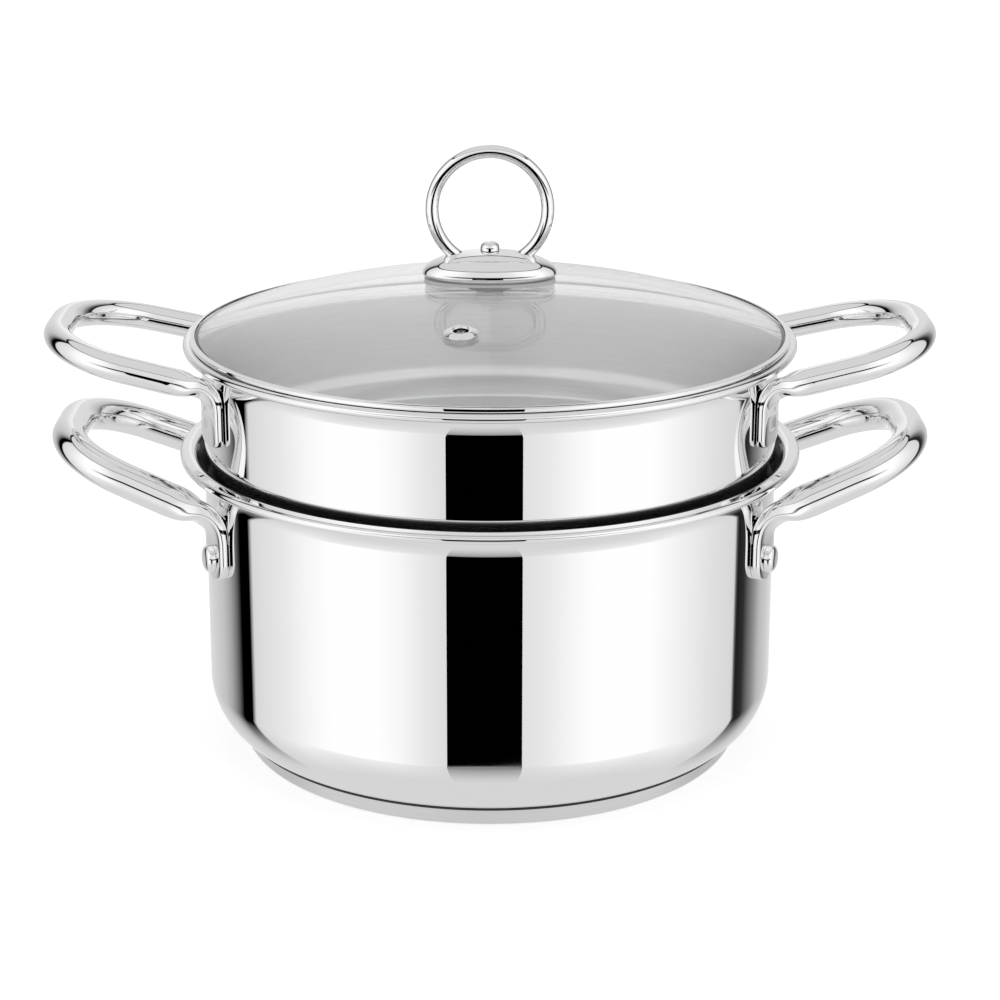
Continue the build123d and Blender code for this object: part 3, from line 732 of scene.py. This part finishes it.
rivet = dict(z=78.7, headD=9.7, headH=3.0, headPower=3.4, gap=0.05, innerD=9.0, innerH=1.2, innerPower=2.6,
             innerLow=0.85, round=64)


def rivetPiece(place, azimuth):
    # A domed head outside the tab and a lower one inside the pot, both on the rivet's axis.
    s = rivet
    out = np.array([math.cos(azimuth), math.sin(azimuth), 0])
    head = domeLine(s["headD"], s["headH"], s["headPower"], potLoop["thick"] + s["gap"])
    inner = domeLine(s["innerD"], s["innerH"], s["innerPower"], s["innerLow"])
    points, faces, count = [], [], 0
    for line, axis in ((head, out), (inner, -out)):
        dome, domeFaces = turned(line, s["round"], False)
        dome = placed(dome, out * wallR + [0, 0, s["z"]], axis)
        points.append(dome)
        faces += [part + count for part in facingOut(dome, domeFaces)]
        count += len(dome)
    makePiece("rivetHeads_" + place, np.concatenate(points), faces, "pot", ["rivet_" + place], [steel])


tabAzimuth = math.asin(potLoop["tabY"] / wallR)
for place, azimuth in (("right_front", -tabAzimuth), ("right_back", tabAzimuth),
                       ("left_front", math.pi + tabAzimuth), ("left_back", math.pi - tabAzimuth)):
    rivetPiece(place, azimuth)
print("rivets made")


# Lid

lid = dict(crown=167.3, ball=306.3, thick=3.6, edge=103.95, bevel=57.0, band=0.5, gap=0.05, lip=102.9,
           foot=102.4, bandEase=0.22, holeR=4.0, ventX=-9.5, ventY=-56.1, ventHole=4.2)
glassEdge = dict(ease=0.25, lean=0.06, drop=0.02, arris=0.12, steps=90, bevelFrom=90.0, tries=4000,
                 sharp=25)
drill = dict(reach=9.0, round=64)
ballZ = lid["crown"] - lid["ball"]
bevel = math.radians(lid["bevel"])
flareOut = pot["bend"] * (1 - math.cos(flareTilt))
crestR = insert["wall"] - insert["sheet"] + flareOut + insert["crest"] * math.cos(flareTilt)
nestR = crestR - (insert["crest"] + insert["seatGap"]) * math.cos(bevel)
nestZ = insert["crestZ"] - insert["crest"] + (insert["crest"] + insert["seatGap"]) * math.sin(bevel)


def ballHeight(radius, ball):
    # Height of a sphere of the lid's glass: z = ballZ + sqrt(ball^2 - r^2).
    return ballZ + np.sqrt(ball ** 2 - np.asarray(radius) ** 2)


def glassTop(radius):
    return float(ballHeight(radius, lid["ball"]))


def bandUnder(radius):
    # Height of the band's underside, a cone: z = nestZ + (r - nestR) / tan(bevel).
    return nestZ + (np.asarray(radius) - nestR) / math.tan(bevel)


def drillVent(piece, at):
    # Takes a cylinder that stands square to the dome out of the glass.
    line = np.array([[0, -drill["reach"]], [lid["ventHole"], -drill["reach"]],
                     [lid["ventHole"], drill["reach"]], [0, drill["reach"]]])
    points, faces = turned(line, drill["round"], False)
    mesh = makeMesh("ventDrill", placed(points, at, at - [0, 0, ballZ], (1.0, 0, 0)), faces)
    tool = bpy.data.objects.new("ventDrill", mesh)
    bpy.context.scene.collection.objects.link(tool)
    cut = piece.modifiers.new("ventHole", "BOOLEAN")
    cut.object = tool
    cut.operation = "DIFFERENCE"
    cut.solver = "EXACT"
    ready = bpy.data.meshes.new_from_object(piece.evaluated_get(bpy.context.evaluated_depsgraph_get()))
    piece.modifiers.remove(cut)
    piece.data = ready
    ready.set_sharp_from_angle(angle=math.radians(glassEdge["sharp"]))
    bpy.data.objects.remove(tool)


def lidGlassPiece():
    # Two spheres with one middle, joined by the ground bevel at the edge and the wall of the screw's hole.
    # The bevel meets the lower sphere where the two heights differ least.
    s = glassEdge
    inBall = lid["ball"] - lid["thick"]
    lift = (lid["band"] + lid["gap"]) / math.sin(bevel)
    radii = np.linspace(s["bevelFrom"], lid["edge"], s["tries"])
    meets = radii[np.argmin(np.abs(bandUnder(radii) + lift - ballHeight(radii, inBall)))]
    up = np.linspace(lid["holeR"], lid["edge"] - s["ease"], s["steps"])
    down = np.linspace(meets, lid["holeR"], s["steps"])
    edgeZ = glassTop(lid["edge"])
    edge = np.array([[lid["edge"] - s["lean"], edgeZ - s["drop"]], [lid["edge"], edgeZ - s["arris"]],
                     [lid["edge"], float(bandUnder(lid["edge"])) + lift]])
    top = np.stack([up, ballHeight(up, lid["ball"])], 1)
    under = np.stack([down, ballHeight(down, inBall)], 1)
    points, faces = turned(np.concatenate([top, edge, under]), segments, True)
    return makePiece("lidGlassSmooth", points, faces, "lid", ["lid_glass"], [glass], sharp=s["sharp"])


def rimBandPiece():
    # A thin strip folded round the edge of the glass, a gap away from it: over the lip, down the wall and
    # in under the bevel.
    wall = lid["edge"] + lid["gap"]
    out = wall + lid["band"]
    lift = lid["band"] / math.sin(bevel)
    edgeZ, lipZ = glassTop(lid["edge"]) + lid["gap"], glassTop(lid["lip"]) + lid["gap"]
    within = [(lid["lip"], lipZ), (wall, edgeZ), (wall, bandUnder(wall) + lift),
              (lid["foot"], bandUnder(lid["foot"]) + lift)]
    outside = [(lid["foot"], bandUnder(lid["foot"])), (out, bandUnder(out)),
               (out, edgeZ - lid["gap"] + lid["band"]), (wall, edgeZ + lid["band"]),
               (lid["lip"], lipZ + lid["band"])]
    points, faces = turned(rounded(within + outside, lid["bandEase"]), segments, True)
    makePiece("lidBandSmooth", points, faces, "lid", ["lid_rim_band"], [steel], sharp=50)


eyelet = dict(flangeR=5.75, flangeH=1.3, bore=2.5, barrel=4.1, depth=4.55, rollR=4.7, rollH=0.5, seat=0.05,
              mouth=0.9, mouthShare=0.8, slopeR=0.82, slopeH=0.72, edgeH=0.3, ease=0.45, round=96)


def ventPiece(at):
    # A flange with a rounded mouth above the glass, a barrel through it and a roll below.
    e = eyelet
    rollLow = -e["depth"] - e["rollH"]
    flange = [(e["bore"], e["flangeH"] * e["mouthShare"]),
              (e["bore"] + e["mouth"], e["flangeH"] + e["seat"]),
              (e["flangeR"] * e["slopeR"], e["flangeH"] * e["slopeH"]),
              (e["flangeR"], e["edgeH"]), (e["flangeR"], e["seat"])]
    barrel = [(e["barrel"], e["seat"]), (e["barrel"], -e["depth"])]
    roll = [(e["rollR"], -e["depth"]), (e["rollR"], rollLow), (e["bore"], rollLow)]
    points, faces = turned(rounded(flange + barrel + roll, e["ease"]), e["round"], True)
    points = placed(points, at, at - [0, 0, ballZ], (1.0, 0, 0))
    makePiece("ventEyeletSmooth", points, faces, "lid", ["vent_eyelet"], [steel], sharp=50)


ventAt = np.array([lid["ventX"], lid["ventY"], glassTop(math.hypot(lid["ventX"], lid["ventY"]))])
drillVent(lidGlassPiece(), ventAt)
rimBandPiece()
ventPiece(ventAt)


# Knob

plate = dict(low=168.0, high=10.0, halfX=23.5, halfY=13.0, sheet=1.0, tuck=1.9, drawnIn=30.0, rows=60,
             round=192)
wireRing = dict(wire=2.3, radius=20.0, z=192.3, footX=12.1, tail=4.0, steps=220, round=40)
screw = dict(headD=6.8, headH=3.0, headPower=3.0, sunk=0.05, shankR=2.5, shankLow=157.35, easeR=0.3,
             easeTop=157.7, round=72)
plateTop = plate["low"] + plate["high"]


def knobPlatePiece():
    # Two egg shapes, one sheet apart: widest at tuck above the foot, drawn in over drawnIn degrees below
    # it, and joined at the foot. x = X cos t cos a, y = Y cos t sin a, z = low + tuck + rise sin t.
    turn = np.linspace(-math.radians(plate["drawnIn"]), math.pi / 2, plate["rows"])
    angle = tau * np.arange(plate["round"]) / plate["round"]
    layers = []
    for offset, order in ((0, turn), (plate["sheet"], turn[::-1])):
        flat, up = np.cos(order)[:, None], np.sin(order)[:, None]
        rise = np.where(up > 0, plate["high"] - plate["tuck"] - offset, 2 * plate["tuck"])
        x = (plate["halfX"] - offset) * flat * np.cos(angle)
        y = (plate["halfY"] - offset) * flat * np.sin(angle)
        z = np.broadcast_to(plate["low"] + plate["tuck"] + up * rise, x.shape)
        layers.append(np.stack([x, y, z], -1))
    outer, inner = layers[0][:-1], layers[1][1:]
    tips = [[0, 0, plateTop - plate["sheet"]], [0, 0, plateTop]]
    points, faces = cappedSkin(np.concatenate([inner, outer]), tips)
    makePiece("knobPlateSmooth", points, faces, "lid", ["knob_plate"], [steel], sharp=50)


def knobRingPiece():
    # A circle of wire carried round a circle, open at the bottom where both ends go into the plate:
    # x = (R + w cos b) sin a, y = w sin b, z = ringZ - (R + w cos b) cos a.
    s = wireRing
    foot = math.asin(s["footX"] / s["radius"]) - s["tail"] / s["radius"]
    along = np.linspace(foot, tau - foot, s["steps"])[:, None]
    around = tau * np.arange(s["round"]) / s["round"]
    reach = s["radius"] + s["wire"] * np.cos(around)
    x = reach * np.sin(along)
    y = np.broadcast_to(s["wire"] * np.sin(around), x.shape)
    skin = np.stack([x, y, s["z"] - reach * np.cos(along)], -1)
    points, faces = cappedSkin(skin, [skin[0].mean(0), skin[-1].mean(0)])
    makePiece("knobRingSmooth", points, faces, "lid", ["knob_ring"], [steel], sharp=60)


def knobScrewPiece():
    # A domed head on the plate and its shank, with an eased end, down through the glass.
    s = screw
    top = plateTop - s["sunk"]
    head = domeLine(s["headD"], s["headH"], s["headPower"], top)
    shank = np.array([[0, s["shankLow"]], [s["shankR"] - s["easeR"], s["shankLow"]],
                      [s["shankR"], s["easeTop"]], [s["shankR"], top]])
    points, faces = turned(np.concatenate([shank, head[2:]]), s["round"], False)
    makePiece("knobScrewSmooth", points, faces, "lid", ["knob_screw"], [steel])


knobPlatePiece()
knobRingPiece()
knobScrewPiece()
print("lid made")


# Hidden solids, which keep their shape and only get a finish

for node, material in (("base_core", aluminium), ("vent_washer", silicone), ("knob_nut", baseSatin),
                       ("knob_washer", silicone), ("knob_gasket", silicone)):
    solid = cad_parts[node]
    solid.data.materials.clear()
    solid.data.materials.append(material)


# Floor, light and camera

# Bearings run from the front, negative to the left; heights are degrees above the horizon. The panels
# are pale strips that stand round the pot with dark gaps between them, each stop a (bearing, level).
studio = dict(
    panels=[(-180, 0.95), (-165, 0.74), (-150, 0.66), (-138, 0.57), (-130, 0.40), (-124, 0.17), (-120, 0.0),
            (-111.6, 0.0), (-110.6, 0.72), (-104, 0.77), (-90, 0.86), (-76, 1.0), (-66, 1.07), (-46, 1.07),
            (-36, 1.0), (-26, 0.86), (-17, 0.77), (12.5, 0.80), (22, 0.86), (32, 0.98), (42, 1.07),
            (66, 1.07), (84, 0.92), (99, 0.80), (115.2, 0.72), (117, 0.01), (124, 0.03), (134, 0.27),
            (142, 0.52), (165, 0.75)],
    frontGap=(-17.0, 12.75), frontTop=(4.0, 9.0),
    gap=(-1.0, 6.5), gapRise=1.0, gapFall=2.0, gapReach=[(0, 1.0), (32, 1.0), (60, 0.0), (180, 0.0)],
    top=(47.0, 49.0), topFade=0.8, above=0.70, below=0.71,
    tableShare=[(-50, 1.0), (-42, 0.89), (-35, 0.75), (-27, 0.55), (-24, 0.38), (-21.0, 0.36)],
    tableEnd=-23.35, tableSoft=(-52.0, -24.0), tableReach=(68.0, 84.0))


def rampNode(tree, stops, value):
    # Level by position: stops of (position 0 to 1, level), straight between them.
    ramp = tree.nodes.new("ShaderNodeValToRGB")
    points = ramp.color_ramp.elements
    while len(points) < len(stops):
        points.new(0.5)
    for element, (position, level) in zip(points, stops):
        element.position = position
    for element, (position, level) in zip(points, stops):
        element.color = (level, level, level, 1)
    tree.links.new(value, ramp.inputs[0])
    return ramp.outputs[0]


def heightRamp(tree, share, stops):
    # The share is (1 + sin height) / 2, and each stop is given by its height in degrees.
    placedStops = [((1 + math.sin(math.radians(degrees))) / 2, level) for degrees, level in stops]
    return rampNode(tree, placedStops, share)


def panelLevel(tree, bearing, height):
    # panels (1 - front gap) (1 - low line reach): dark in a gap low in front, and along a line at the
    # panels' feet that fades out to the sides.
    s = studio
    share = plus(tree, times(tree, bearing, 0.5), 0.5)
    panels = rampNode(tree, [(degrees / 360 + 0.5, level) for degrees, level in s["panels"]], share)
    left, right = s["frontGap"]
    between = times(tree, mathNode(tree, "GREATER_THAN", bearing, left / 180),
                    mathNode(tree, "LESS_THAN", bearing, right / 180))
    darkEnd, paleFrom = s["frontTop"]
    front = times(tree, between, heightRamp(tree, height, [(-90, 1), (darkEnd, 1), (paleFrom, 0), (90, 0)]))
    low, high = s["gap"]
    stops = [(-90, 0), (low - s["gapRise"], 0), (low, 1), (high, 1), (high + s["gapFall"], 0), (90, 0)]
    lowLine = heightRamp(tree, height, stops)
    aside = mathNode(tree, "ABSOLUTE", bearing)
    reach = rampNode(tree, [(degrees / 180, level) for degrees, level in s["gapReach"]], aside)
    panels = times(tree, panels, minus(tree, 1.0, front))
    return times(tree, panels, minus(tree, 1.0, times(tree, lowLine, reach)))


def tableLevel(tree, bearing, upright, height):
    # Share of the pale table: within tableReach of the front it follows tableShare and stops hard at
    # tableEnd, and behind that it fades out between the heights of tableSoft.
    s = studio
    hard = heightRamp(tree, height, [(-90, 1.0)] + s["tableShare"] + [(90, s["tableShare"][-1][1])])
    hard = times(tree, hard, mathNode(tree, "LESS_THAN", upright, math.sin(math.radians(s["tableEnd"]))))
    full, none = s["tableSoft"]
    soft = heightRamp(tree, height, [(-90, 1), (full, 1), (none, 0), (90, 0)])
    near, far = s["tableReach"]
    stops = [(0, 0), (near / 180, 0), (far / 180, 1), (1, 1)]
    behind = rampNode(tree, stops, mathNode(tree, "ABSOLUTE", bearing))
    return plus(tree, times(tree, hard, minus(tree, 1.0, behind)), times(tree, soft, behind))


def studioWorld():
    # Metal sees panels by their bearing round Z, a dark line where they end, a pale ceiling above and a
    # pale table below: panels (under top - table) + below table + ceiling. The camera and glass see white.
    s = studio
    world = bpy.data.worlds.new("studioWorld")
    bpy.context.scene.world = world
    world.use_nodes = True
    tree = world.node_tree
    back = tree.nodes["Background"]
    place = tree.nodes.new("ShaderNodeTexCoord")
    split = tree.nodes.new("ShaderNodeSeparateXYZ")
    tree.links.new(place.outputs["Generated"], split.inputs[0])
    x, y, z = split.outputs
    bearing = mathNode(tree, "DIVIDE", mathNode(tree, "ARCTAN2", x, times(tree, y, -1.0)), math.pi)
    height = plus(tree, times(tree, z, 0.5), 0.5)
    table = tableLevel(tree, bearing, z, height)
    end, sky = s["top"]
    underTop = heightRamp(tree, height, [(-90, 1), (end - s["topFade"], 1), (end, 0), (90, 0)])
    stops = [(-90, 0), (sky, 0), (sky + s["topFade"], s["above"]), (90, s["above"])]
    ceiling = heightRamp(tree, height, stops)
    level = times(tree, panelLevel(tree, bearing, height), minus(tree, underTop, table))
    level = plus(tree, level, times(tree, table, s["below"]))
    level = plus(tree, level, ceiling)
    rays = tree.nodes.new("ShaderNodeLightPath")
    direct = mathNode(tree, "MAXIMUM", rays.outputs["Is Camera Ray"], rays.outputs["Is Transmission Ray"])
    mix = tree.nodes.new("ShaderNodeMix")
    mix.data_type = "FLOAT"
    share, studioLevel, white = mix.inputs[0], mix.inputs[2], mix.inputs[3]
    tree.links.new(direct, share)
    tree.links.new(level, studioLevel)
    white.default_value = 1.0
    tree.links.new(mix.outputs[0], back.inputs["Color"])
    back.inputs["Strength"].default_value = 1.0


floorSheet = dict(half=6.0, colour=0.95, glow=0.45, roughness=0.9)


def paleFloor():
    # A pale matt sheet with a glow that only the camera and glass see. Mirrors don't see the sheet.
    s = floorSheet
    half = s["half"]
    corners = [(-half, -half, 0), (half, -half, 0), (half, half, 0), (-half, half, 0)]
    mesh = bpy.data.meshes.new("paleFloor")
    mesh.from_pydata(corners, [], [(0, 1, 2, 3)])
    floor = bpy.data.objects.new("paleFloor", mesh)
    bpy.context.scene.collection.objects.link(floor)
    material, tree, shader = newMaterial("paleTable", (s["colour"],) * 3, 0, s["roughness"])
    shader.inputs["Specular IOR Level"].default_value = 0.0
    rays = tree.nodes.new("ShaderNodeLightPath")
    seen = mathNode(tree, "MAXIMUM", rays.outputs["Is Camera Ray"], rays.outputs["Is Transmission Ray"])
    shader.inputs["Emission Color"].default_value = (1, 1, 1, 1)
    tree.links.new(times(tree, seen, s["glow"]), shader.inputs["Emission Strength"])
    mesh.materials.append(material)
    floor.visible_glossy = False


# The camera was solved on the ellipses of the rims and the base in the photo.
cameraSettings = dict(sensor=36.0, lens=94.42, shiftX=0.0101, shiftY=-0.0247, far=50.0,
                      place=(0, -0.8932, 0.3694), tilt=17.015)


def photoCamera():
    # Looks along +Y, tilt degrees down.
    s = cameraSettings
    data = bpy.data.cameras.new("photoCamera")
    data.sensor_width = s["sensor"]
    data.lens = s["lens"]
    data.shift_x = s["shiftX"]
    data.shift_y = s["shiftY"]
    data.clip_end = s["far"]
    camera = bpy.data.objects.new("photoCamera", data)
    bpy.context.scene.collection.objects.link(camera)
    camera.location = s["place"]
    camera.rotation_euler = (math.radians(90 - s["tilt"]), 0, 0)
    bpy.context.scene.camera = camera


studioWorld()
paleFloor()
photoCamera()
bpy.context.scene.view_settings.view_transform = "Standard"
print("studio ready")
